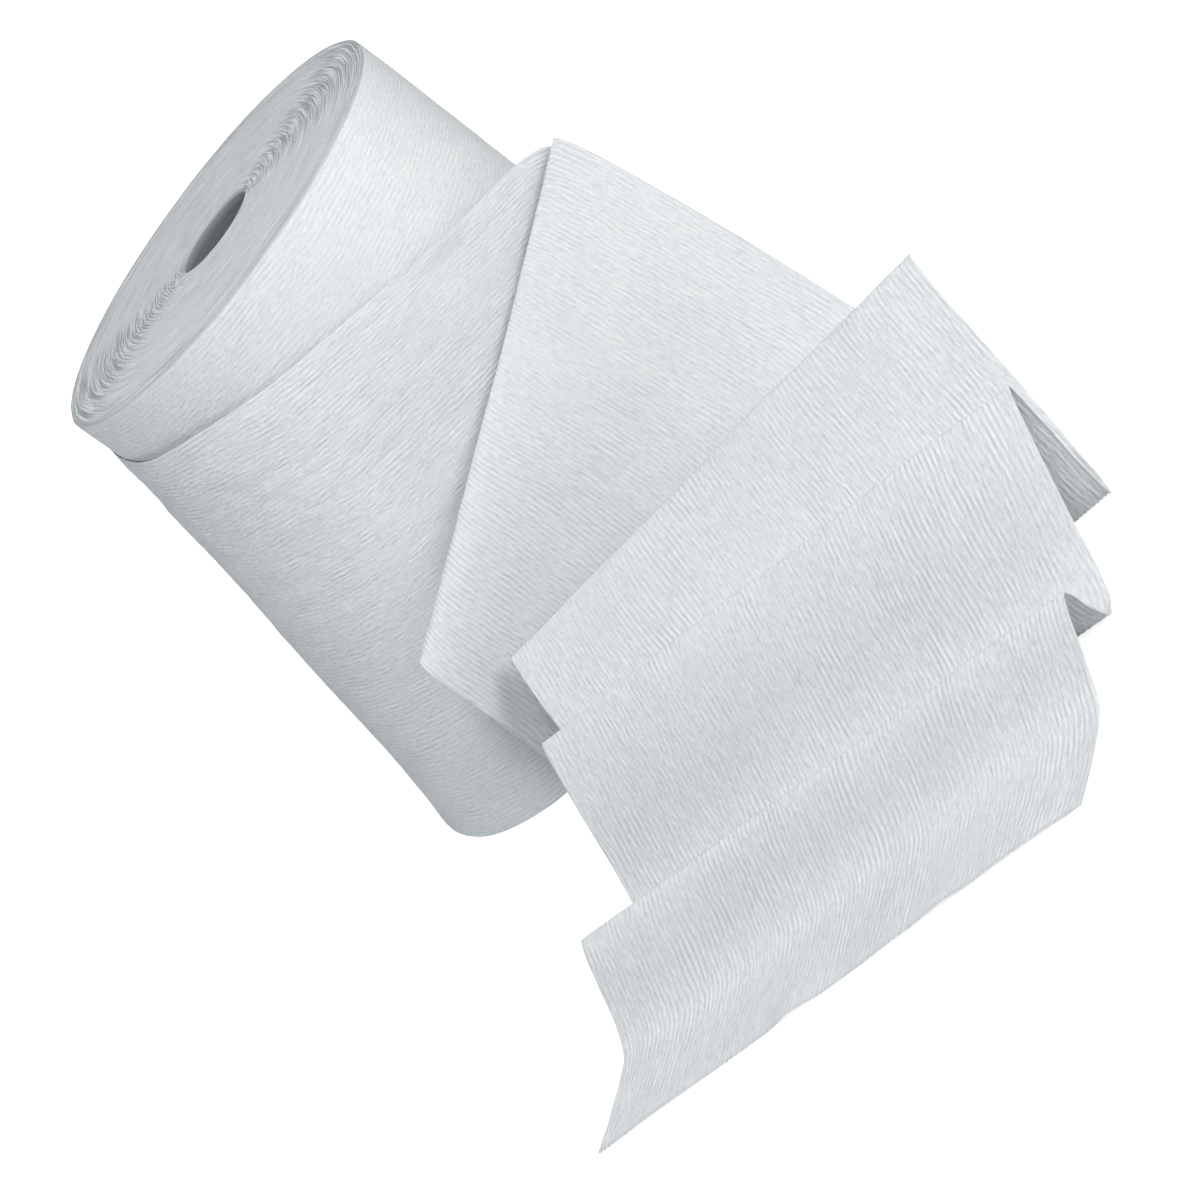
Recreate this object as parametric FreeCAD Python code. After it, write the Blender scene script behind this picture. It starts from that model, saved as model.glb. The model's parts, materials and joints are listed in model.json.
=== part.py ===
# Paper towel roll, standing on its end, with its loose outer turn pulled off and let
# fall in soft folds in front of it.
#
# The paper is one strip, so the roll is one solid: the wound body has a plain hole
# through it for a spindle, and no core tube. Its ends show bands of turns that stand a
# little above or below each other.
#
# The loose end leaves the back of the wound body, goes round its left side as a skirt
# that flares at the foot, leans on the front, drops over a first ridge as a curtain,
# and runs out over the table in three more waves to its cut edge.
#
# Frame: Z up along the hole, origin at the hole's centre on the table, X to the right
# and -Y towards the free end. Lengths are in millimetres and angles in degrees.
import FreeCAD, Part
import math
import os

from FreeCAD import Vector

# Wound body
paper_width = 203.0
roll_radius = 90.0
hole_radius = 19.0

# Bands of turns on the two ends: how many, and how far a band may stand back
top_bands = 13
foot_bands = 9
band_step = 0.7

# Loose paper: its thickness, and the gap to the wound body that it leans on
sheet_thickness = 0.8
lean_gap = 5.0
start_depth = 4.0

# How many straight steps make each bend of the loose paper
steps_per_bend = 5

# Skirt: how far its foot stands out from the wound body, on the way round from the back
skirt_flare_back = 17.0
skirt_flare_side = 36.0
skirt_flare_front = 64.0

# How far the skirt's upper edge has slipped below the top of the wound body
slip_side = 20.0
slip_front = 38.0
slip_right = 52.0

# Ridges: height above the table at mid width
ridge_1_height = 109.5
ridge_2_height = 64.0
ridge_3_height = 56.0
ridge_4_height = 27.0

# Folds: how far each stands out from the one before it at mid width, measured from the
# front of the wound body. The third ridge leans back over its own valley.
ridge_1_run = 13.0
valley_1_run = 37.0
ridge_2_run = 54.5
valley_2_run = 79.5
ridge_3_run = -4.0
valley_3_run = 34.5
ridge_4_run = 16.0
landing_run = 15.5
cut_edge_run = 22.0

ridge_1_out = ridge_1_run
valley_1_out = ridge_1_out + valley_1_run
ridge_2_out = valley_1_out + ridge_2_run
valley_2_out = ridge_2_out + valley_2_run
ridge_3_out = valley_2_out + ridge_3_run
valley_3_out = ridge_3_out + valley_3_run
ridge_4_out = valley_3_out + ridge_4_run
landing_out = ridge_4_out + landing_run
cut_edge_out = landing_out + cut_edge_run

# How far the middle of each fold lies to the right of the roll's axis
ridge_1_aside = 10.0
valley_1_aside = 16.0
ridge_2_aside = 30.4
valley_2_aside = 1.6
ridge_3_aside = 9.9
valley_3_aside = -24.6
ridge_4_aside = -33.0
landing_aside = -54.5
cut_edge_aside = -80.5

# How broad the bend of each fold is
valley_1_breadth = 14.0
ridge_2_breadth = 10.0
valley_2_breadth = 8.0
ridge_3_breadth = 7.0
valley_3_breadth = 12.0
ridge_4_breadth = 7.0
landing_breadth = 16.0

# Start of the loose paper: how far its first bend stands off the wound body
start_flare = 7.0

# The skirt's foot where it crosses the front: to the right of the axis, and out
front_foot_aside = -94.0
middle_foot_aside = -72.0
right_foot_aside = -48.0
hidden_foot_aside = -26.0
front_foot_out = 33.0
hidden_foot_out = 24.0

# Hidden tuck behind the first ridge: its right edge, and how wide its turn is
tuck_foot_aside = -18.0
tuck_foot_out = 22.0
tuck_aside = 101.0
tuck_behind = 30.0
tuck_height = 124.0
tuck_turn = 7.0

# Curtain's bulge, part of the way down from the first ridge at its two edges
bulge_left_aside = -83.0
bulge_left_out = 56.0
bulge_left_height = 45.0
bulge_right_aside = 110.5
bulge_right_out = 2.0
bulge_right_height = 78.0

# The mid-surface of paper that lies on the table
rest_height = sheet_thickness / 2.0

# The control lines of the loose sheet. Each is a pair of points, one on the lower edge
# of the paper as it was wound and one on the upper edge.
low_points = []
high_points = []


def around(radius, angle, height):
    """A point at a radius and angle about the roll's axis."""
    turn = math.radians(angle)
    return Vector(radius * math.cos(turn), radius * math.sin(turn), height)


def ahead(x, out, height):
    """A point in front of the wound body, out from its front."""
    return Vector(x, -roll_radius - out, height)


def add_line(low, high):
    """Add one control line across the sheet."""
    low_points.append(low)
    high_points.append(high)


def add_skirt_line(high_angle, slip, low_angle, flare):
    """Add a control line of the skirt, which leans on the wound body."""
    low = around(roll_radius + flare, low_angle, rest_height)
    high = around(roll_radius + lean_gap, high_angle, paper_width - slip)
    add_line(low, high)


def add_fold(middle, heading, rise, low_turn, high_turn):
    """Add the two control lines of a fold, one on each side of its crest or bottom.

    The fold line has the paper's full width. low_turn and high_turn are the steps from
    the first control line to the second at the two edges of the paper.
    """
    level = math.cos(math.radians(rise))
    turn = math.radians(heading)
    along = Vector(level * math.cos(turn), level * math.sin(turn), math.sin(math.radians(rise)))
    low = middle - along * (paper_width / 2.0)
    high = middle + along * (paper_width / 2.0)
    add_line(low - low_turn * 0.5, high - high_turn * 0.5)
    add_line(low + low_turn * 0.5, high + high_turn * 0.5)


def add_wave(x, out, height, heading, rise, breadth):
    """Add a fold that runs level across the way the sheet travels."""
    turn = math.radians(heading)
    travel = Vector(math.sin(turn), -math.cos(turn), 0) * breadth
    add_fold(ahead(x, out, height), heading, rise, travel, travel)


def add_all_lines():
    """Add every control line, from inside the back of the roll to the cut edge."""
    # The start is sunk in the wound body, so that the strip and the roll are one piece.
    start = roll_radius - start_depth
    add_line(around(start, 72, rest_height), around(start, 72, paper_width - 1.0))
    add_line(
        around(roll_radius + start_flare, 98, rest_height),
        around(roll_radius + start_flare, 98, paper_width - 1.5),
    )

    # The skirt goes round the left side and slips down as it goes.
    add_skirt_line(126, 0.3 * slip_side, 124, skirt_flare_back)
    add_skirt_line(152, 0.65 * slip_side, 148, 0.5 * (skirt_flare_back + skirt_flare_side))
    add_skirt_line(178, slip_side, 172, skirt_flare_side)
    add_skirt_line(203, 1.15 * slip_side, 196, 0.45 * skirt_flare_side + 0.55 * skirt_flare_front)
    add_skirt_line(226, 1.2 * slip_side, 215, skirt_flare_front)

    # It crosses the front, and runs on down behind the first ridge, out of sight.
    radius = roll_radius + lean_gap
    slip_between = 0.4 * slip_side + 0.6 * slip_front
    add_line(
        ahead(front_foot_aside, front_foot_out, rest_height),
        around(radius, 248, paper_width - slip_between),
    )
    add_line(
        ahead(middle_foot_aside, front_foot_out, rest_height),
        around(radius, 272, paper_width - slip_front),
    )
    add_line(
        ahead(right_foot_aside, front_foot_out, rest_height),
        around(radius, 300, paper_width - slip_right),
    )
    add_line(
        ahead(hidden_foot_aside, hidden_foot_out, rest_height),
        ahead(tuck_aside - 0.6 * tuck_turn, -tuck_behind, tuck_height + 2.0 * tuck_turn),
    )

    # Hidden tuck: the paper turns back on itself and rises to the first ridge.
    add_line(
        ahead(tuck_foot_aside, tuck_foot_out, rest_height),
        ahead(tuck_aside, -tuck_behind, tuck_height),
    )
    add_line(
        ahead(tuck_foot_aside, tuck_foot_out + tuck_turn, rest_height),
        ahead(tuck_aside, 0.7 * tuck_turn - tuck_behind, tuck_height),
    )

    # First ridge: a soft bend at the lower edge and a sharp one at the upper edge
    add_fold(
        ahead(ridge_1_aside, ridge_1_out, ridge_1_height), 22, 14.4,
        Vector(-5, -19, 4), Vector(5.5, -4, -4.5),
    )

    # Curtain below the first ridge, which bulges a little at its right edge
    add_line(
        ahead(bulge_left_aside, bulge_left_out, bulge_left_height),
        ahead(bulge_right_aside, bulge_right_out, bulge_right_height),
    )

    # Valleys and ridges down to the flat stretch that ends in the cut edge
    add_wave(valley_1_aside, valley_1_out, rest_height, 6.6, 0, valley_1_breadth)
    add_wave(ridge_2_aside, ridge_2_out, ridge_2_height, -24.9, 1.2, ridge_2_breadth)
    add_wave(valley_2_aside, valley_2_out, rest_height, -27, 0, valley_2_breadth)
    add_wave(ridge_3_aside, ridge_3_out, ridge_3_height, -31.1, -3, ridge_3_breadth)
    add_wave(valley_3_aside, valley_3_out, rest_height, -33.3, 0, valley_3_breadth)
    add_wave(ridge_4_aside, ridge_4_out, ridge_4_height, -32.4, -1.5, ridge_4_breadth)
    add_wave(landing_aside, landing_out, rest_height, -31.5, 0, landing_breadth)
    turn = math.radians(-31.9)
    half = Vector(math.cos(turn), math.sin(turn), 0) * (paper_width / 2.0)
    middle = ahead(cut_edge_aside, cut_edge_out, rest_height)
    add_line(middle - half, middle + half)


def offset_points(points, distance):
    """Move the control points of one edge along the sheet's own normal, mitred."""
    normals = []
    for index in range(len(points) - 1):
        step = points[index + 1] - points[index]
        across = high_points[index] + high_points[index + 1]
        across = across - low_points[index] - low_points[index + 1]
        normal = step.cross(across)
        normal.normalize()
        normals.append(normal)
    moved = []
    for index, point in enumerate(points):
        before = normals[max(index - 1, 0)]
        after = normals[min(index, len(normals) - 1)]
        mitre = (before + after) * (1.0 / (1.0 + before.dot(after)))
        moved.append(point + mitre * distance)
    return moved


def flat_faces(corners):
    """Two flat triangles between four corners, which may be twisted out of one plane."""
    triangles = [
        [corners[0], corners[1], corners[2], corners[0]],
        [corners[0], corners[2], corners[3], corners[0]],
    ]
    return [Part.Face(Part.makePolygon(triangle)) for triangle in triangles]


def smooth_line(points):
    """Points along one edge of the sheet, bent smoothly from its control points.

    Each control point bends the line between the midpoints of the runs beside it.
    """
    line = []
    last = len(points) - 2
    for index in range(1, last + 1):
        start = points[0] if index == 1 else (points[index - 1] + points[index]) * 0.5
        end = points[-1] if index == last else (points[index] + points[index + 1]) * 0.5
        for step in range(steps_per_bend):
            share = step / steps_per_bend
            line.append(
                start * (1.0 - share) ** 2
                + points[index] * (2.0 * share * (1.0 - share))
                + end * share ** 2
            )
    line.append(points[-1])
    return line


def strip_faces(first, second):
    """The faces between two edges of the sheet, one for each step along them."""
    faces = []
    for k in range(len(first) - 1):
        faces.extend(flat_faces([first[k], second[k], second[k + 1], first[k + 1]]))
    return faces


def make_sheet():
    """The loose paper, from its start inside the roll to the cut edge."""
    add_all_lines()
    half = sheet_thickness / 2.0
    low_out = smooth_line(offset_points(low_points, half))
    low_in = smooth_line(offset_points(low_points, -half))
    high_out = smooth_line(offset_points(high_points, half))
    high_in = smooth_line(offset_points(high_points, -half))
    faces = flat_faces([low_out[0], high_out[0], high_in[0], low_in[0]])
    faces.extend(flat_faces([low_out[-1], high_out[-1], high_in[-1], low_in[-1]]))
    # Both sides are split along the same diagonals, so that the paper keeps its thickness.
    faces.extend(strip_faces(low_out, high_out))
    faces.extend(strip_faces(low_in, high_in))
    faces.extend(strip_faces(low_out, low_in))
    faces.extend(strip_faces(high_out, high_in))
    skin = Part.makeCompound(faces)
    skin.sewShape(0.001)
    sheet = Part.makeSolid(skin.Shells[0])
    if sheet.Volume < 0:
        sheet.reverse()
    return sheet


def end_profile(bands, level, inward):
    """Points along one end of the wound body, from the hole out: one step per band."""
    width = (roll_radius - hole_radius) / bands
    points = []
    for band in range(bands):
        middle_band = 0 < band < bands - 1
        back = band_step * ((0.618 * band) % 1.0) if middle_band else 0.0
        height = level + inward * back
        points.append(Vector(hole_radius + band * width, 0, height))
        points.append(Vector(hole_radius + (band + 1) * width, 0, height))
    return points


def make_wound_body():
    """The wound turns as one body with a hole, its ends stepped in bands of turns."""
    foot = end_profile(foot_bands, 0.0, 1.0)
    top = end_profile(top_bands, paper_width, -1.0)
    outline = foot + top[::-1]
    outline.append(outline[0])
    profile = Part.Face(Part.makePolygon(outline))
    return profile.revolve(Vector(0, 0, 0), Vector(0, 0, 1), 360)


os.makedirs("parts", exist_ok=True)
paper_towel = make_wound_body().fuse(make_sheet())
paper_towel = paper_towel.Solids[0] if len(paper_towel.Solids) == 1 else paper_towel
print("solids", len(paper_towel.Solids), "valid", paper_towel.isValid())
print("volume", round(paper_towel.Volume), "box", paper_towel.BoundBox)
paper_towel.exportStep("parts/paper_towel.step")
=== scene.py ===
# Paper towel roll, standing on its end, with its loose outer turn in soft folds.
#
# Three meshes stand for the one CAD solid: the wound body, the loose turn round it and the
# loose end in front. They have the CAD's form, and the loose paper follows the same control
# lines as the CAD source. Creping, turns and wrinkles are relief in the meshes, and only the
# finest grain is bump.
#
# Lengths are worked out in millimetres, as in the CAD source, and made metres in the meshes.
# Angles are in degrees.
import json
import math

import bpy
import numpy as np
from mathutils import Matrix, Vector, noise


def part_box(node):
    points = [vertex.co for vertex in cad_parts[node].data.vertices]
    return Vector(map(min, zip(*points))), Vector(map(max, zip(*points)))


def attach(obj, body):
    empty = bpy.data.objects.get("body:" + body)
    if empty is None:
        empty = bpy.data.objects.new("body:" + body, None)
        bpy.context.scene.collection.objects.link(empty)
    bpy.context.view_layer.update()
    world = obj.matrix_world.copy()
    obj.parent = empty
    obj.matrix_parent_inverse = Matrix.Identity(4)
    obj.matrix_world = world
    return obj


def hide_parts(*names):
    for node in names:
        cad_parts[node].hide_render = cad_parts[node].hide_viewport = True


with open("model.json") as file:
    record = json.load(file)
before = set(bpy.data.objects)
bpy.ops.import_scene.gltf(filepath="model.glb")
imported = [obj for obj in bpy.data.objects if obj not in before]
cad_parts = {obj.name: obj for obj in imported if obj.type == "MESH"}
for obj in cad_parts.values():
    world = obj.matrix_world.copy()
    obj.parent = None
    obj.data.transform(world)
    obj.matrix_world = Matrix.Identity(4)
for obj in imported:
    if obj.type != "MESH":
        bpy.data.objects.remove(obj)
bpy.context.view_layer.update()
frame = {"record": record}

metre = 0.001

# Sizes that the frame gives
foot_corner, top_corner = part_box("paper_towel")
paper_width = (top_corner.z - foot_corner.z) / metre
hole = frame["record"]["mounts"][0]
hole_radius = hole["dims"]["r_mm"]

# The rest of the CAD source's driving sizes. The upper edge of the loose turn leans closer
# here than in the CAD, which keeps clear of the wound body for collision.
roll_radius = 90.0
lean_gap = 4.2
rest_height = 0.4

# Bands of turns on the two ends: how many, and how far a band may stand back
top_bands = 13
foot_bands = 9
band_step = 0.7

# Start of the loose paper, inside the roll, and where it has left the roll
start_angle = 72.0
start_depth = 4.0
start_slip = 1.0
leave_angle = 98.0
start_flare = 7.0
leave_slip = 1.5

# Skirt: how far its foot stands out from the wound body, on the way round from the back
skirt_flare_back = 17.0
skirt_flare_side = 36.0
skirt_flare_front = 64.0

# How far the skirt's upper edge has slipped below the top of the wound body
slip_side = 20.0
slip_front = 38.0
slip_right = 52.0

# The skirt's control lines: angle of the upper edge, angle of the foot, share of slip_side
skirt_places = (
    (126.0, 124.0, 0.3),
    (152.0, 148.0, 0.65),
    (178.0, 172.0, 1.0),
    (203.0, 196.0, 1.15),
    (226.0, 215.0, 1.2),
)

# How much of the side's and of the front's flare and slip the skirt has between the two
flare_side_share = 0.45
flare_front_share = 0.55
slip_side_share = 0.4
slip_front_share = 0.6

# Where the skirt's upper edge lies as it crosses the front
front_angle_left = 248.0
front_angle_middle = 272.0
front_angle_right = 300.0

# The skirt's foot where it crosses the front: to the right of the axis, and out
front_foot_aside = -94.0
middle_foot_aside = -72.0
right_foot_aside = -48.0
hidden_foot_aside = -26.0
front_foot_out = 33.0
hidden_foot_out = 24.0

# Hidden tuck behind the first ridge: its right edge, how wide its turn is, and how the
# paper's top comes to it and leaves it
tuck_foot_aside = -18.0
tuck_foot_out = 22.0
tuck_aside = 101.0
tuck_behind = 30.0
tuck_height = 124.0
tuck_turn = 7.0
tuck_inset = 0.6 * tuck_turn
tuck_rise = 2.0 * tuck_turn
tuck_forward = 0.7 * tuck_turn

# Ridges: height above the floor at mid width
ridge_1_height = 109.5
ridge_2_height = 64.0
ridge_3_height = 56.0
ridge_4_height = 27.0

# Folds: how far each stands out at mid width, one after the other, from the wound body
ridge_1_out = 13.0
valley_1_out = ridge_1_out + 37.0
ridge_2_out = valley_1_out + 54.5
valley_2_out = ridge_2_out + 79.5
ridge_3_out = valley_2_out - 4.0
valley_3_out = ridge_3_out + 34.5
ridge_4_out = valley_3_out + 16.0
landing_out = ridge_4_out + 15.5
cut_edge_out = landing_out + 22.0

# How far the middle of each fold lies to the right of the roll's axis
ridge_1_aside = 10.0
valley_1_aside = 16.0
ridge_2_aside = 30.4
valley_2_aside = 1.6
ridge_3_aside = 9.9
valley_3_aside = -24.6
ridge_4_aside = -33.0
landing_aside = -54.5
cut_edge_aside = -80.5

# Which way each fold line runs over the floor, and how it rises to its right end
ridge_1_heading = 22.0
valley_1_heading = 6.6
ridge_2_heading = -24.9
valley_2_heading = -27.0
ridge_3_heading = -31.1
valley_3_heading = -33.3
ridge_4_heading = -32.4
landing_heading = -31.5
cut_edge_heading = -31.9
ridge_1_rise = 14.4
ridge_2_rise = 1.2
ridge_3_rise = -3.0
ridge_4_rise = -1.5

# How broad the bend of each fold is. The first ridge has its own bend at each edge.
ridge_1_low_turn = (-5.0, -19.0, 4.0)
ridge_1_high_turn = (5.5, -4.0, -4.5)
valley_1_breadth = 14.0
ridge_2_breadth = 10.0
valley_2_breadth = 8.0
ridge_3_breadth = 7.0
valley_3_breadth = 12.0
ridge_4_breadth = 7.0
landing_breadth = 16.0

# Curtain's bulge, part of the way down from the first ridge at its two edges
bulge_left_aside = -83.0
bulge_left_out = 56.0
bulge_left_height = 45.0
bulge_right_aside = 110.5
bulge_right_out = 2.0
bulge_right_height = 78.0

# The loose paper is two meshes that meet out of sight, at the tuck behind the first ridge
tuck_bend = 10.5

# Fineness of the meshes
steps_per_bend = 60
loose_rows = 385
loose_columns = 400
round_columns = 200
wall_rows = 24
foot_rows = 30
side_rows = 330
top_rows = 84

# Extra rows that a bend gets, as a length of sheet for each radian that it turns through
bend_weight = 7.0

# Smallest length that a direction is worked out from
tiny = 1e-9

# Layers of the noise, one for each use, so that no two patterns are alike
stray_layer = 1.5
quick_stray_layer = 2.5
strength_layer = 3.5
crease_layer = 5.5
small_crease_layer = 6.5
swell_layer = 9.5
knot_layer = 12.5
crease_stray_layer = 21.5
edge_layer = 31.5

# Creping: distance between ribs, how far one runs, how deep it is, and how many plain
# waves are added up to make it wander, with their spread in pitch and in lean
rib_pitch = 1.95
rib_run = 6.5
rib_depth = 0.11
tight_rib_depth = 0.045
rib_waves = 14
rib_seed = 11
pitch_spread = 0.09
lean_spread = 0.32 / rib_run

# Knots that cut the ribs into short beads
knot_height = 1.1
knot_run = 0.32 * rib_run
knot_breadth = 0.7 * rib_pitch

# How far the ribs stray sideways, slowly and quickly, and the size of each stray
stray = 2.4
stray_run = 40.0
stray_breadth = 27.0
quick_stray = 0.5
quick_stray_run = 11.0
quick_stray_breadth = 9.0

# How strong the ribs are: on the whole, how much that varies, its limits and its size
rib_strength = 0.9
strength_swing = 0.7
weakest_ribs = 0.4
strongest_ribs = 1.3
strength_run = 45.0
strength_breadth = 33.0

# Ribs are this much weaker on the skirt, where the paper is stretched
skirt_weakness = 0.5

# Painted shade of the furrows between ribs: its middle, and how fast it falls towards a rib's top
furrow_middle = 0.5
furrow_fall = 0.4

# Paper's own thickness at its cut edges, and how low the paper and its rim may lie
paper_thickness = 0.35
lowest_paper = 0.3
lowest_rim = 0.05

# Creased skin of the slipped turn: it is clearest near the upper edge, and has small
# creases among the large ones
crease_size = 12.0
crease_stretch = 1.2
crease_depth = 0.95
small_crease_size = 0.5 * crease_size
small_crease_share = 0.5
crease_stray = 3.0
crease_stray_run = 21.0
crease_stray_breadth = 19.0
least_crease = 0.25
crease_start = 0.25
crease_full = 0.9

# Slow swells of the free paper
swell_size = 52.0
swell_breadth = 1.3 * swell_size
swell_depth = 1.6

# How far along the strip the relief starts, and where it is full
relief_start = 25.0
relief_full = 70.0

# Curl of the loose turn's upper edge: the bend it is at, its length, width and height
curl_bend = 8.45
curl_length = 0.16
curl_width = 9.0
curl_height = 2.4

# Waves of the cut edge, and the one larger wave: its place across the sheet and its breadth
edge_reach = 22.0
edge_waves = 1.4
edge_wave_run = 60.0
edge_wave_spacing = 17.0
edge_wave_place = 89.0
edge_wave_breadth = 9.0
edge_wave_height = 1.7

# Wound body: how far its middle stands out, and how deep its side is dented and creased
barrel = 0.5
rim_round = 0.9
dent_depth = 0.4
dent_size = 34.0
dent_height = 26.0
tight_crease_depth = 0.6 * crease_depth
tight_crease_size = 11.0
tight_crease_height = 9.0
least_tight_crease = 0.3
crease_low = 110.0
crease_high = 190.0

# Ends of the wound body: how much of a band's step shows, and the fine turns between
band_share = 0.45
band_spread = 0.618
turn_waver = 1.1
turn_waver_size = 16.0
turn_relief = 0.1
turn_relief_size = 19.0
turn_pitch = 1.1

# How strong the painted shade between the turns is on an end: everywhere, to the left and right, and
# at the rim
turn_shade_all = 0.38
turn_shade_sides = 0.62
turn_shade_rim = 0.35
side_lean = 0.12
side_start = 0.88
rim_start = 74.0
rim_full = 89.0

# The hole's wall gets painted shade from this deep on. The painted shade in the wound side's furrows
# is a little fainter, and the ends and hole wall get an even share of it.
hole_shade_depth = 3.0
tight_furrows = 0.8
end_furrows = 0.4

# The parts of the wound body's outline, in the order in which it is drawn
wall_kind = 0
foot_kind = 1
side_kind = 2
top_kind = 3

# Photo camera: focal length and sensor in millimetres, place in metres
lens = 90.0
sensor = 36.0
camera_place = Vector((-0.027, -1.131, 0.447))
camera_pitch = 22.2
camera_roll = 54.0


def around(radius, angle, height):
    """A point at a radius and angle about the roll's axis."""
    turn = math.radians(angle)
    return np.array([radius * math.cos(turn), radius * math.sin(turn), height])


def ahead(x, out, height):
    """A point in front of the wound body, out from its front."""
    return np.array([x, -roll_radius - out, height])


def skirt_line(high_angle, slip, low_angle, flare):
    """A control line of the skirt, which leans on the wound body."""
    low = around(roll_radius + flare, low_angle, rest_height)
    high = around(roll_radius + lean_gap, high_angle, paper_width - slip)
    return (low, high)


def fold(middle, heading, rise, low_turn, high_turn):
    """The two control lines of a fold, whose fold line has the paper's full width."""
    level = math.cos(math.radians(rise))
    turn = math.radians(heading)
    upward = math.sin(math.radians(rise))
    along = np.array([level * math.cos(turn), level * math.sin(turn), upward])
    low = middle - along * (paper_width / 2.0)
    high = middle + along * (paper_width / 2.0)
    low_half = np.array(low_turn) * 0.5
    high_half = np.array(high_turn) * 0.5
    return [(low - low_half, high - high_half), (low + low_half, high + high_half)]


def wave(x, out, height, heading, rise, breadth):
    """A fold that runs level across the way the sheet travels."""
    turn = math.radians(heading)
    travel = np.array([math.sin(turn), -math.cos(turn), 0.0]) * breadth
    return fold(ahead(x, out, height), heading, rise, travel, travel)


def skirt_lines():
    """The control lines from inside the roll, round its left side and across its front."""
    start = roll_radius - start_depth
    leave = roll_radius + start_flare
    radius = roll_radius + lean_gap
    start_low = around(start, start_angle, rest_height)
    start_high = around(start, start_angle, paper_width - start_slip)
    leave_low = around(leave, leave_angle, rest_height)
    leave_high = around(leave, leave_angle, paper_width - leave_slip)
    lines = [(start_low, start_high), (leave_low, leave_high)]
    flares = (
        skirt_flare_back,
        0.5 * (skirt_flare_back + skirt_flare_side),
        skirt_flare_side,
        flare_side_share * skirt_flare_side + flare_front_share * skirt_flare_front,
        skirt_flare_front,
    )
    for (high_angle, low_angle, share), flare in zip(skirt_places, flares):
        lines.append(skirt_line(high_angle, share * slip_side, low_angle, flare))
    slip_left = slip_side_share * slip_side + slip_front_share * slip_front
    crossing = (
        (front_foot_aside, front_angle_left, slip_left),
        (middle_foot_aside, front_angle_middle, slip_front),
        (right_foot_aside, front_angle_right, slip_right),
    )
    for aside, angle, slip in crossing:
        low = ahead(aside, front_foot_out, rest_height)
        lines.append((low, around(radius, angle, paper_width - slip)))
    return lines


def tuck_lines():
    """The control lines of the hidden tuck, where the paper turns back on itself."""
    foot_before = ahead(hidden_foot_aside, hidden_foot_out, rest_height)
    top_before = ahead(tuck_aside - tuck_inset, -tuck_behind, tuck_height + tuck_rise)
    foot = ahead(tuck_foot_aside, tuck_foot_out, rest_height)
    top = ahead(tuck_aside, -tuck_behind, tuck_height)
    foot_after = ahead(tuck_foot_aside, tuck_foot_out + tuck_turn, rest_height)
    top_after = ahead(tuck_aside, tuck_forward - tuck_behind, tuck_height)
    return [(foot_before, top_before), (foot, top), (foot_after, top_after)]


def fold_lines():
    """The control lines from the first ridge down to the cut edge."""
    ridge_1 = ahead(ridge_1_aside, ridge_1_out, ridge_1_height)
    lines = fold(ridge_1, ridge_1_heading, ridge_1_rise, ridge_1_low_turn, ridge_1_high_turn)
    bulge_left = ahead(bulge_left_aside, bulge_left_out, bulge_left_height)
    bulge_right = ahead(bulge_right_aside, bulge_right_out, bulge_right_height)
    lines.append((bulge_left, bulge_right))
    waves = (
        (valley_1_aside, valley_1_out, rest_height, valley_1_heading, 0.0, valley_1_breadth),
        (ridge_2_aside, ridge_2_out, ridge_2_height, ridge_2_heading, ridge_2_rise, ridge_2_breadth),
        (valley_2_aside, valley_2_out, rest_height, valley_2_heading, 0.0, valley_2_breadth),
        (ridge_3_aside, ridge_3_out, ridge_3_height, ridge_3_heading, ridge_3_rise, ridge_3_breadth),
        (valley_3_aside, valley_3_out, rest_height, valley_3_heading, 0.0, valley_3_breadth),
        (ridge_4_aside, ridge_4_out, ridge_4_height, ridge_4_heading, ridge_4_rise, ridge_4_breadth),
        (landing_aside, landing_out, rest_height, landing_heading, 0.0, landing_breadth),
    )
    for place in waves:
        lines += wave(*place)
    turn = math.radians(cut_edge_heading)
    half = np.array([math.cos(turn), math.sin(turn), 0.0]) * (paper_width / 2.0)
    middle = ahead(cut_edge_aside, cut_edge_out, rest_height)
    lines.append((middle - half, middle + half))
    return lines


def smooth_line(points):
    """Points along one edge, each control point bending the line between two midpoints."""
    line = []
    last = len(points) - 2
    for index in range(1, last + 1):
        start = points[0] if index == 1 else (points[index - 1] + points[index]) * 0.5
        end = points[-1] if index == last else (points[index] + points[index + 1]) * 0.5
        for step in range(steps_per_bend):
            share = step / steps_per_bend
            bend = points[index] * (2.0 * share * (1.0 - share))
            line.append(start * (1.0 - share) ** 2 + bend + end * share ** 2)
    line.append(points[-1])
    return np.array(line)


def step_cost(line):
    """What each step along an edge costs in rows: its length, and more where it bends."""
    steps = np.diff(line, axis=0)
    lengths = np.linalg.norm(steps, axis=1)
    headings = steps / np.maximum(lengths, tiny)[:, None]
    turns = np.zeros(len(lengths))
    turns[1:] = np.arccos(np.clip((headings[1:] * headings[:-1]).sum(axis=1), -1.0, 1.0))
    return lengths + bend_weight * turns


def edge_rows():
    """The two edges of the loose paper, close together at the folds, and each row's bend."""
    lines = skirt_lines() + tuck_lines() + fold_lines()
    low = smooth_line([line[0] for line in lines])
    high = smooth_line([line[1] for line in lines])
    cost = np.concatenate([[0.0], np.cumsum(step_cost(low) + step_cost(high))])
    places = np.linspace(0.0, cost[-1], loose_rows)
    even_low = np.stack([np.interp(places, cost, low[:, k]) for k in range(3)], axis=1)
    even_high = np.stack([np.interp(places, cost, high[:, k]) for k in range(3)], axis=1)
    bends = np.interp(places, cost, np.arange(len(cost)) / steps_per_bend)
    return even_low, even_high, bends


def grid_normals(points):
    """The surface's normal at each point of a grid."""
    along = np.gradient(points, axis=0)
    across = np.gradient(points, axis=1)
    normals = np.cross(along, across)
    return normals / np.maximum(np.linalg.norm(normals, axis=2, keepdims=True), tiny)


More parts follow.
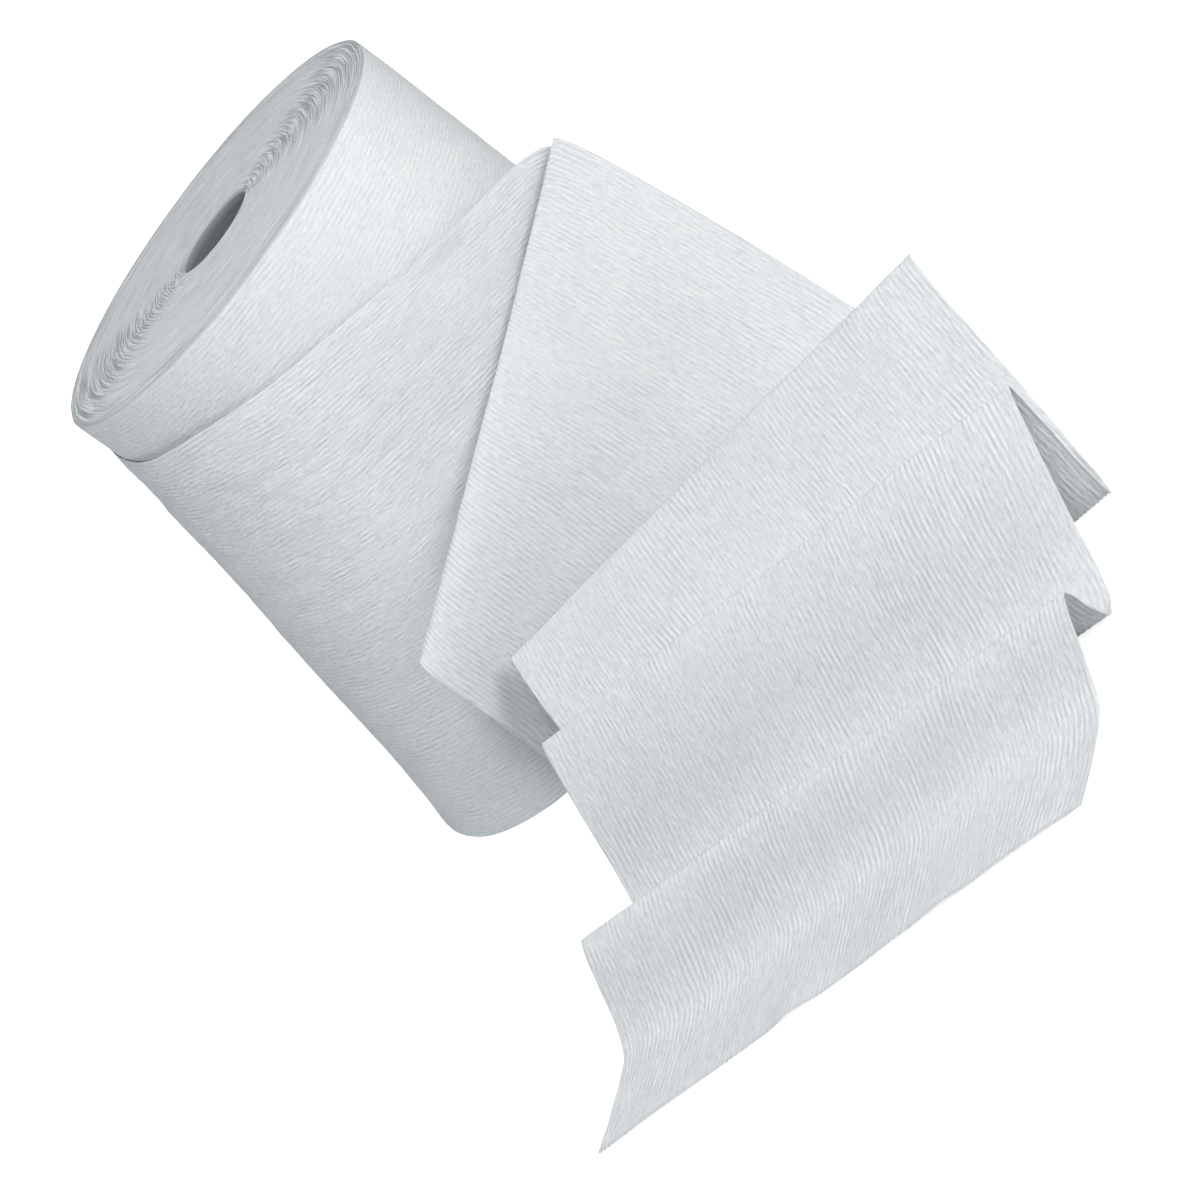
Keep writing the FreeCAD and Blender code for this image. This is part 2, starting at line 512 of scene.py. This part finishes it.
def noise_field(first, second, third):
    """Smooth noise at each place of three equal arrays."""
    places = zip(first.ravel(), second.ravel(), third.ravel())
    values = [noise.noise(Vector(place)) for place in places]
    return np.array(values).reshape(first.shape)


def flat_noise(first, second, layer):
    """Smooth noise over two arrays, in one of the layers."""
    return noise_field(first, second, np.full(first.shape, layer))


def between(values, start, end):
    """0 before start, 1 after end, and a smooth rise from one to the other."""
    share = np.clip((values - start) / (end - start), 0.0, 1.0)
    return share * share * (3.0 - 2.0 * share)


def ribs(along, across):
    """Creping: even ribs along the strip, about 1 high, which wander, join and fade."""
    slow = flat_noise(along / stray_run, across / stray_breadth, stray_layer)
    quick = flat_noise(along / quick_stray_run, across / quick_stray_breadth, quick_stray_layer)
    drift = stray * slow + quick_stray * quick
    dice = np.random.default_rng(rib_seed)
    total = np.zeros(along.shape)
    for _ in range(rib_waves):
        pitch = rib_pitch * dice.normal(1.0, pitch_spread)
        lean = dice.normal(0.0, lean_spread)
        phase = dice.uniform(0.0, 1.0)
        total += np.cos(2.0 * math.pi * ((across + drift) / pitch + lean * along + phase))
    total = total / math.sqrt(0.5 * rib_waves)
    knots = flat_noise(along / knot_run, across / knot_breadth, knot_layer)
    swing = flat_noise(along / strength_run, across / strength_breadth, strength_layer)
    strength = np.clip(rib_strength + strength_swing * swing, weakest_ribs, strongest_ribs)
    return strength * (total + knot_height * knots)


def rib_shades(height):
    """How deep in the furrows between ribs each point lies, from 0 to 1, which sets the painted
    shade there.
    """
    return np.clip(furrow_middle - furrow_fall * height, 0.0, 1.0)


def loose_relief(along, across, skirt, creping):
    """How far the loose paper stands off its smooth surface. skirt is 1 on the skirt."""
    upper = between(across / paper_width, crease_start, crease_full)
    sway = flat_noise(along / crease_stray_run, across / crease_stray_breadth, crease_stray_layer)
    moved = across + crease_stray * sway
    crease_length = crease_stretch * crease_size
    creases = flat_noise(along / crease_length, moved / crease_size, crease_layer)
    small = flat_noise(along / small_crease_size, across / small_crease_size, small_crease_layer)
    creased = crease_depth * skirt * (least_crease + (1.0 - least_crease) * upper)
    creased = creased * (np.abs(creases) + small_crease_share * np.abs(small))
    swells = swell_depth * flat_noise(along / swell_size, across / swell_breadth, swell_layer)
    return rib_depth * (1.0 - skirt_weakness * skirt) * creping + creased + swells


def with_rim(points):
    """The paper's surface with its two long edges turned under by its own thickness."""
    inner = points - grid_normals(points) * paper_thickness
    rows = [inner[:, 1:2], inner[:, 0:1], points, inner[:, -1:], inner[:, -2:-1]]
    points = np.concatenate(rows, axis=1)
    points[:, :, 2] = np.maximum(points[:, :, 2], lowest_rim)
    return points


def grid_mesh(name, points, uv, shades, closed):
    """A mesh object from a grid of points, which may be closed on itself both ways.

    shades are values at the points, by name, for the material.
    """
    rows, columns = points.shape[:2]
    last_row = rows if closed else rows - 1
    last_column = columns if closed else columns - 1
    row, column = np.meshgrid(np.arange(last_row), np.arange(last_column), indexing="ij")
    next_row = (row + 1) % rows
    next_column = (column + 1) % columns
    corners = [
        row * columns + column,
        next_row * columns + column,
        next_row * columns + next_column,
        row * columns + next_column,
    ]
    faces = np.stack(corners, axis=2).reshape(-1, 4)
    mesh = bpy.data.meshes.new(name)
    mesh.from_pydata((points.reshape(-1, 3) * metre).tolist(), [], faces.tolist())
    layer = mesh.uv_layers.new(name="UVMap")
    corner_uv = np.stack(
        [uv[row, column], uv[row + 1, column], uv[row + 1, column + 1], uv[row, column + 1]],
        axis=2,
    )
    layer.data.foreach_set("uv", (corner_uv * metre).astype(np.float32).ravel())
    for key, values in shades.items():
        attribute = mesh.attributes.new(key, "FLOAT", "POINT")
        attribute.data.foreach_set("value", values.astype(np.float32).ravel())
    mesh.shade_smooth()
    mesh.update()
    piece = bpy.data.objects.new(name, mesh)
    bpy.context.scene.collection.objects.link(piece)
    return piece


def make_loose_paper():
    """The loose paper in two pieces, and the length of each.

    The loose turn goes from inside the roll to the hidden tuck, and the loose end goes on
    from there to the wavy cut edge.
    """
    low, high, bends = edge_rows()
    share = np.linspace(0.0, 1.0, loose_columns)[None, :, None]
    points = low[:, None, :] * (1.0 - share) + high[:, None, :] * share
    steps = np.linalg.norm(np.diff(points, axis=0), axis=2)
    along = np.concatenate([np.zeros((1, loose_columns)), np.cumsum(steps, axis=0)])
    across = np.broadcast_to(share[:, :, 0] * paper_width, along.shape)

    # Relief fades out where the paper enters the wound body.
    leaving = between(along, relief_start, relief_full)
    skirt = 1.0 - between(bends, tuck_bend - 1.0, tuck_bend)
    creping = ribs(along, across)
    relief = loose_relief(along, across, skirt[:, None], creping) * leaving
    curl = np.exp(-((bends[:, None] - curl_bend) / curl_length) ** 2)
    relief = relief + curl_height * curl * between(across, paper_width - curl_width, paper_width)
    points = points + grid_normals(points) * relief[:, :, None]

    # The cut edge lies in low waves, and turns down by the paper's thickness.
    tip = 1.0 - between(along[-1:, :] - along, 0.0, edge_reach)
    rises = flat_noise(along / edge_wave_run, across / edge_wave_spacing, edge_layer)
    waves = edge_waves * np.maximum(rises, 0.0)
    waves += edge_wave_height * np.exp(-((across - edge_wave_place) / edge_wave_breadth) ** 2)
    points[:, :, 2] += tip * waves
    points[:, :, 2] = np.maximum(points[:, :, 2], lowest_paper)
    under = points[-1:] - np.array([0.0, 0.0, paper_thickness])
    points = with_rim(np.concatenate([points, under], axis=0))

    # The values at the points are repeated for the turned edges.
    added = ((0, 1), (2, 2))
    along = np.pad(along, added, mode="edge")
    across = np.pad(across, added, mode="edge")
    # Strength of the painted shade in the furrows between ribs
    furrows = rib_shades(np.pad(creping, added, mode="edge"))
    uv = np.stack([along, across], axis=2)

    split = int(np.searchsorted(bends, tuck_bend))
    turn = slice(0, split + 1)
    end = slice(split, len(points))
    turn_shades = {"rib_shade": furrows[turn]}
    end_shades = {"rib_shade": furrows[end]}
    loose_turn = grid_mesh("loose_turn", points[turn], uv[turn], turn_shades, False)
    loose_end = grid_mesh("loose_end", points[end], uv[end], end_shades, False)
    turn_length = float(along[split].mean())
    end_length = float(along[-1].mean()) - turn_length
    return (loose_turn, turn_length), (loose_end, end_length)


def band_relief(radius, bands):
    """How far each band of turns stands back from the end of the wound body."""
    width = (roll_radius - hole_radius) / bands
    band = np.clip(np.floor((radius - hole_radius) / width), 0, bands - 1)
    inner_band = (band > 0) & (band < bands - 1)
    return np.where(inner_band, band_step * ((band_spread * band) % 1.0), 0.0)


def crowding(radius, angle):
    """How strong the painted shade between the turns is on an end: most to the left, to the right
    and at the rim.
    """
    sides = between(np.abs(np.cos(angle + side_lean)), side_start, 1.0)
    rim = between(radius, rim_start, rim_full)
    shade = turn_shade_all + turn_shade_sides * sides + turn_shade_rim * rim
    return np.clip(shade, 0.0, 1.0)


def make_wound_roll():
    """The wound body: hole wall, foot, side and top as one closed surface."""
    rows = [wall_rows, foot_rows, side_rows, top_rows]
    ease = 0.5 + 0.5 * np.cos(np.linspace(0.0, math.pi, wall_rows))
    wall = rim_round + (paper_width - 2.0 * rim_round) * ease
    foot = np.linspace(hole_radius + rim_round, roll_radius - rim_round, foot_rows)
    side = np.linspace(rim_round, paper_width - rim_round, side_rows)
    top = np.linspace(roll_radius - rim_round, hole_radius + rim_round, top_rows)
    wall_radii = np.full(wall_rows, hole_radius)
    radii = np.concatenate([wall_radii, foot, np.full(side_rows, roll_radius), top])
    heights = np.concatenate([wall, np.zeros(foot_rows), side, np.full(top_rows, paper_width)])
    places = np.concatenate([wall, foot, side, top])
    kinds = np.repeat([wall_kind, foot_kind, side_kind, top_kind], rows)[:, None]
    turns = np.arange(round_columns + 1) * (2.0 * math.pi / round_columns)
    angle = np.broadcast_to(math.radians(start_angle) + turns[:-1], (len(radii), round_columns))
    radius = np.broadcast_to(radii[:, None], angle.shape)
    height = np.broadcast_to(heights[:, None], angle.shape)
    x = radius * np.cos(angle)
    y = radius * np.sin(angle)

    # The side bulges a little, is dented, and has the faint creases of tight paper.
    bulge = barrel * np.sin(math.pi * height / paper_width)
    dents = dent_depth * noise_field(x / dent_size, y / dent_size, height / dent_height)
    creases = noise_field(
        x / tight_crease_size, y / tight_crease_size, height / tight_crease_height
    )
    low_down = 1.0 - between(height, crease_low, crease_high)
    creased = least_tight_crease + (1.0 - least_tight_crease) * low_down
    creping = ribs(angle * roll_radius, height)
    side_relief = bulge + dents + tight_crease_depth * np.abs(creases) * creased
    side_relief = side_relief + tight_rib_depth * creping
    radius = radius + np.where(kinds == side_kind, side_relief, 0.0)
    radius = radius - np.where(kinds == wall_kind, dents, 0.0)

    # The ends: bands of turns that stand back, with fine wavy turns between them
    waver = turn_waver * noise_field(x / turn_waver_size, y / turn_waver_size, height)
    wavy = radius + waver
    fine = turn_relief * noise_field(
        x / turn_relief_size, y / turn_relief_size, wavy / turn_pitch
    )
    top_relief = np.abs(band_share * band_relief(wavy, top_bands) + fine)
    foot_relief = np.abs(band_share * band_relief(wavy, foot_bands) + fine)
    height = height - np.where(kinds == top_kind, top_relief, 0.0)
    height = height + np.where(kinds == foot_kind, foot_relief, 0.0)
    points = np.stack([radius * np.cos(angle), radius * np.sin(angle), height], axis=2)

    # Painted shade: between the turns on the ends, deep in the hole, and in the furrows between
    # ribs, of which the ends and hole wall get an even share
    on_end = (kinds == top_kind) | (kinds == foot_kind)
    in_hole = between(np.minimum(height, paper_width - height), 0.0, hole_shade_depth)
    side_furrows = tight_furrows * rib_shades(creping)
    shades = {
        "turn_shade": np.where(on_end, crowding(radius, angle), 0.0),
        "hole_shade": np.where(kinds == wall_kind, in_hole, 0.0),
        "rib_shade": np.where(kinds == side_kind, side_furrows, end_furrows),
    }

    # Along the strip is round the roll. Across it is the height, or the radius on an end.
    grid = (len(radii) + 1, round_columns + 1)
    round_the_roll = np.broadcast_to(turns * roll_radius, grid)
    across = np.append(places, places[0])[:, None]
    uv = np.stack([round_the_roll, np.broadcast_to(across, grid)], axis=2)
    return grid_mesh("wound_roll", points, uv, shades, True)


# Colours: the paper, and the painted shade that darkens it in the beads' hollows, between ribs,
# between turns and in the hole
paper_white = (0.865, 0.885, 0.892)
rib_shadow = (0.90, 0.91, 0.915)
mottle_dark = (0.97, 0.97, 0.975)
turn_gap_shade = (0.44, 0.47, 0.495)
hole_painted_shade = (0.25, 0.27, 0.29)
furrow_painted_shade = (0.83, 0.84, 0.85)
full = (1.0, 1.0, 1.0)

# How many cells of each noise go to a metre, along the strip and across it
bead_scale = (330.0, 950.0, 1.0)
fibre_scale = (900.0, 2300.0, 1.0)
mottle_scale = (26.0, 40.0, 1.0)
turn_scale = (26.0, 1400.0, 1.0)
sway_scale = (150.0, 60.0, 1.0)

# Where each noise turns from its dark colour to its light one
bead_range = (0.34, 0.56)
mottle_range = (0.35, 0.6)
turn_range = (0.42, 0.58)

# How far the lines of the turns sway, and the bump's heights, in metres
turn_sway = 0.0016
fibre_height = 0.0001
bead_height = 0.0006

# Sockets of a Mix node for colours: its two inputs and its result
mix_first = 6
mix_second = 7
mix_result = 2


class Nodes:
    """Makes and joins the nodes of one material."""

    def __init__(self, name):
        self.material = bpy.data.materials.new(name)
        self.material.use_nodes = True
        self.tree = self.material.node_tree
        self.tree.nodes.clear()

    def add(self, kind, **settings):
        """A new node, with its settings."""
        node = self.tree.nodes.new(kind)
        for key, value in settings.items():
            setattr(node, key, value)
        return node

    def join(self, source, output, target, socket):
        """Join an output of one node to an input of another."""
        self.tree.links.new(source.outputs[output], target.inputs[socket])

    def stretched_noise(self, source, scale, detail, roughness):
        """Noise on the sheet, with its own scale along and across the strip."""
        mapping = self.add("ShaderNodeMapping")
        mapping.inputs["Scale"].default_value = scale
        self.join(source, "UV", mapping, "Vector")
        texture = self.add("ShaderNodeTexNoise")
        texture.inputs["Scale"].default_value = 1.0
        texture.inputs["Detail"].default_value = detail
        texture.inputs["Roughness"].default_value = roughness
        texture.inputs["Distortion"].default_value = 0.35
        self.join(mapping, "Vector", texture, "Vector")
        return texture

    def bump(self, texture, strength, distance, under=None):
        """Bump from a texture, on top of another bump where one is given."""
        node = self.add("ShaderNodeBump")
        node.inputs["Strength"].default_value = strength
        node.inputs["Distance"].default_value = distance
        self.join(texture, "Fac", node, "Height")
        if under is not None:
            self.join(under, "Normal", node, "Normal")
        return node

    def tint(self, texture, dark, light, limits):
        """A colour that runs from dark to light as the texture goes between two limits."""
        ramp = self.add("ShaderNodeValToRGB")
        ramp.color_ramp.elements[0].position = limits[0]
        ramp.color_ramp.elements[0].color = (*dark, 1.0)
        ramp.color_ramp.elements[1].position = limits[1]
        ramp.color_ramp.elements[1].color = (*light, 1.0)
        self.join(texture, "Fac", ramp, "Fac")
        return ramp.outputs["Color"]

    def where_shaded(self, key, colour):
        """The colour where a shade of the mesh is 1, and no change where it is 0."""
        shade = self.add("ShaderNodeAttribute", attribute_name=key)
        mix = self.add("ShaderNodeMix", data_type="RGBA")
        self.join(shade, "Fac", mix, 0)
        mix.inputs[mix_first].default_value = (*full, 1.0)
        self.tree.links.new(colour, mix.inputs[mix_second])
        return mix.outputs[mix_result]

    def plain(self, colour):
        """One constant colour."""
        node = self.add("ShaderNodeRGB")
        node.outputs[0].default_value = (*colour, 1.0)
        return node.outputs[0]

    def multiply(self, first, second):
        """One colour socket times another."""
        mix = self.add("ShaderNodeMix", data_type="RGBA", blend_type="MULTIPLY")
        mix.inputs[0].default_value = 1.0
        self.tree.links.new(first, mix.inputs[mix_first])
        self.tree.links.new(second, mix.inputs[mix_second])
        return mix.outputs[mix_result]


def turn_gap_painted_shade(nodes, uv):
    """Painted shade in the fine wavy gaps between the turns, where the turn_shade attribute says."""
    sway = nodes.stretched_noise(uv, sway_scale, 1.0, 0.5)
    swing = nodes.add("ShaderNodeVectorMath", operation="SCALE")
    swing.inputs["Scale"].default_value = turn_sway
    nodes.join(sway, "Color", swing, "Vector")
    moved = nodes.add("ShaderNodeVectorMath", operation="ADD")
    nodes.join(uv, "UV", moved, 0)
    nodes.join(swing, "Vector", moved, 1)
    mapping = nodes.add("ShaderNodeMapping")
    mapping.inputs["Scale"].default_value = turn_scale
    nodes.join(moved, "Vector", mapping, "Vector")
    lines = nodes.add("ShaderNodeTexNoise")
    lines.inputs["Scale"].default_value = 1.0
    lines.inputs["Detail"].default_value = 3.0
    nodes.join(mapping, "Vector", lines, "Vector")
    dark = nodes.tint(lines, turn_gap_shade, full, turn_range)
    return nodes.where_shaded("turn_shade", dark)


def paper_material(name, bead_bump, see_through):
    """White creped paper: ribs along the strip, fibres, soft mottling and no gloss, with painted
    shade in the beads' hollows, in the furrows, between the turns and in the hole.
    """
    nodes = Nodes(name)
    uv = nodes.add("ShaderNodeTexCoord")
    beads = nodes.stretched_noise(uv, bead_scale, 3.0, 0.6)
    fibres = nodes.stretched_noise(uv, fibre_scale, 2.0, 0.6)
    mottle = nodes.stretched_noise(uv, mottle_scale, 4.0, 0.6)
    # The beads' hollows get painted shade, and the mottling is the paper's own uneven tone
    bead_tint = nodes.tint(beads, rib_shadow, full, bead_range)
    mottle_tint = nodes.tint(mottle, mottle_dark, full, mottle_range)
    colour = nodes.multiply(nodes.plain(paper_white), bead_tint)
    colour = nodes.multiply(colour, mottle_tint)
    # Painted shade in the furrows between ribs
    colour = nodes.multiply(colour, nodes.where_shaded("rib_shade", nodes.plain(furrow_painted_shade)))
    # Painted shade in the gaps between the turns on the ends
    colour = nodes.multiply(colour, turn_gap_painted_shade(nodes, uv))
    # Painted shade deep in the hole
    colour = nodes.multiply(colour, nodes.where_shaded("hole_shade", nodes.plain(hole_painted_shade)))

    grain = nodes.bump(fibres, 0.45, fibre_height)
    surface = nodes.bump(beads, bead_bump, bead_height, grain)
    shader = nodes.add("ShaderNodeBsdfPrincipled")
    shader.inputs["Roughness"].default_value = 0.92
    shader.inputs["Specular IOR Level"].default_value = 0.18
    shader.inputs["Sheen Weight"].default_value = 0.06
    shader.inputs["Sheen Roughness"].default_value = 0.6
    nodes.tree.links.new(colour, shader.inputs["Base Color"])
    nodes.join(surface, "Normal", shader, "Normal")
    output = nodes.add("ShaderNodeOutputMaterial")
    if see_through > 0.0:
        glow = nodes.add("ShaderNodeBsdfTranslucent")
        nodes.tree.links.new(colour, glow.inputs["Color"])
        nodes.join(surface, "Normal", glow, "Normal")
        mix = nodes.add("ShaderNodeMixShader")
        mix.inputs["Fac"].default_value = see_through
        nodes.join(shader, "BSDF", mix, 1)
        nodes.join(glow, "BSDF", mix, 2)
        nodes.join(mix, "Shader", output, "Surface")
    else:
        nodes.join(shader, "BSDF", output, "Surface")
    return nodes.material


# Floor: how wide it is, and how the camera sees it lighten from near to far, in metres
floor_half = 6.0
floor_near = 0.45
floor_far = 1.1
floor_lift_near = 0.74
floor_lift_far = 1.0


def floor_material():
    """Pale matte floor, which the camera sees near white with the object's shadow kept."""
    nodes = Nodes("pale_floor")
    path = nodes.add("ShaderNodeLightPath")
    matte = nodes.add("ShaderNodeBsdfDiffuse")
    matte.inputs["Color"].default_value = (0.86, 0.87, 0.88, 1.0)
    lift = nodes.add("ShaderNodeEmission")
    lift.inputs["Color"].default_value = (1.0, 1.0, 1.0, 1.0)
    place = nodes.add("ShaderNodeTexCoord")
    distance = nodes.add("ShaderNodeVectorMath", operation="LENGTH")
    nodes.join(place, "Object", distance, 0)
    far = nodes.add("ShaderNodeMapRange")
    far.inputs["From Min"].default_value = floor_near
    far.inputs["From Max"].default_value = floor_far
    far.inputs["To Min"].default_value = floor_lift_near
    far.inputs["To Max"].default_value = floor_lift_far
    nodes.join(distance, "Value", far, "Value")
    strength = nodes.add("ShaderNodeMath", operation="MULTIPLY")
    nodes.join(path, "Is Camera Ray", strength, 0)
    nodes.join(far, "Result", strength, 1)
    nodes.join(strength, "Value", lift, "Strength")
    total = nodes.add("ShaderNodeAddShader")
    nodes.join(matte, "BSDF", total, 0)
    nodes.join(lift, "Emission", total, 1)
    output = nodes.add("ShaderNodeOutputMaterial")
    nodes.join(total, "Shader", output, "Surface")
    return nodes.material


def make_floor():
    """A plain wide floor under the object."""
    half = floor_half
    mesh = bpy.data.meshes.new("floor")
    corners = [(-half, -half, 0.0), (half, -half, 0.0), (half, half, 0.0), (-half, half, 0.0)]
    mesh.from_pydata(corners, [], [(0, 1, 2, 3)])
    floor = bpy.data.objects.new("floor", mesh)
    floor.data.materials.append(floor_material())
    bpy.context.scene.collection.objects.link(floor)


def set_world():
    """A soft even sky that the camera sees as white."""
    world = bpy.data.worlds.new("studio")
    world.use_nodes = True
    tree = world.node_tree
    tree.nodes.clear()
    path = tree.nodes.new("ShaderNodeLightPath")
    soft = tree.nodes.new("ShaderNodeBackground")
    soft.inputs["Color"].default_value = (0.93, 0.97, 1.0, 1.0)
    soft.inputs["Strength"].default_value = 0.02
    white = tree.nodes.new("ShaderNodeBackground")
    white.inputs["Color"].default_value = (1.0, 1.0, 1.0, 1.0)
    white.inputs["Strength"].default_value = 1.0
    mix = tree.nodes.new("ShaderNodeMixShader")
    output = tree.nodes.new("ShaderNodeOutputWorld")
    tree.links.new(path.outputs["Is Camera Ray"], mix.inputs[0])
    tree.links.new(soft.outputs[0], mix.inputs[1])
    tree.links.new(white.outputs[0], mix.inputs[2])
    tree.links.new(mix.outputs[0], output.inputs["Surface"])
    bpy.context.scene.world = world


def add_lamp(name, place, aim, size, power, colour):
    """A square soft lamp that points at a place."""
    light = bpy.data.lights.new(name, "AREA")
    light.shape = "SQUARE"
    light.size = size
    light.energy = power
    light.color = colour
    lamp = bpy.data.objects.new(name, light)
    direction = Vector(aim) - Vector(place)
    lamp.location = place
    lamp.rotation_euler = direction.to_track_quat("-Z", "Y").to_euler()
    bpy.context.scene.collection.objects.link(lamp)


def set_camera():
    """The photo's camera, which was rolled about its own line of sight."""
    pitch = math.radians(camera_pitch)
    roll = math.radians(camera_roll)
    right = Vector((1.0, 0.0, 0.0))
    up = Vector((0.0, math.sin(pitch), math.cos(pitch)))
    forward = Vector((0.0, math.cos(pitch), -math.sin(pitch)))
    camera_x = right * math.cos(roll) - up * math.sin(roll)
    camera_y = right * math.sin(roll) + up * math.cos(roll)
    data = bpy.data.cameras.new("photo_camera")
    data.lens = lens
    data.sensor_width = sensor
    camera = bpy.data.objects.new("photo_camera", data)
    turn = Matrix((camera_x, camera_y, -forward)).transposed()
    camera.matrix_world = Matrix.Translation(camera_place) @ turn.to_4x4()
    bpy.context.scene.collection.objects.link(camera)
    bpy.context.scene.camera = camera


set_camera()
set_world()
make_floor()

# Lamps: place and aim in metres, size in metres, power in watts, colour
front = (0.0, -0.18, 0.07)
wound_body = (0.0, 0.0, 0.1)
add_lamp("right_lamp", (0.95, -1.15, 0.45), front, 0.6, 8.3, (1.0, 1.0, 0.99))
add_lamp("front_lamp", (0.25, -0.95, 1.35), front, 0.6, 14.6, (1.0, 1.0, 1.0))
add_lamp("left_lamp", (-1.1, -0.2, 1.0), front, 0.7, 7.1, (0.92, 0.97, 1.0))
add_lamp("back_lamp", (0.2, 1.5, 0.4), wound_body, 0.8, 6.0, (1.0, 1.0, 1.0))

loose_parts = make_loose_paper()
loose_paper = paper_material("loose_creped_paper", 0.9, 0.06)
wound_roll = make_wound_roll()
wound_roll.data.materials.append(paper_material("wound_creped_paper", 0.6, 0.0))
for part, length in loose_parts:
    part.data.materials.append(loose_paper)

for piece in (wound_roll, loose_parts[0][0], loose_parts[1][0]):
    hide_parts("paper_towel")
    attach(piece, "root")

bpy.context.scene.view_settings.view_transform = "Standard"
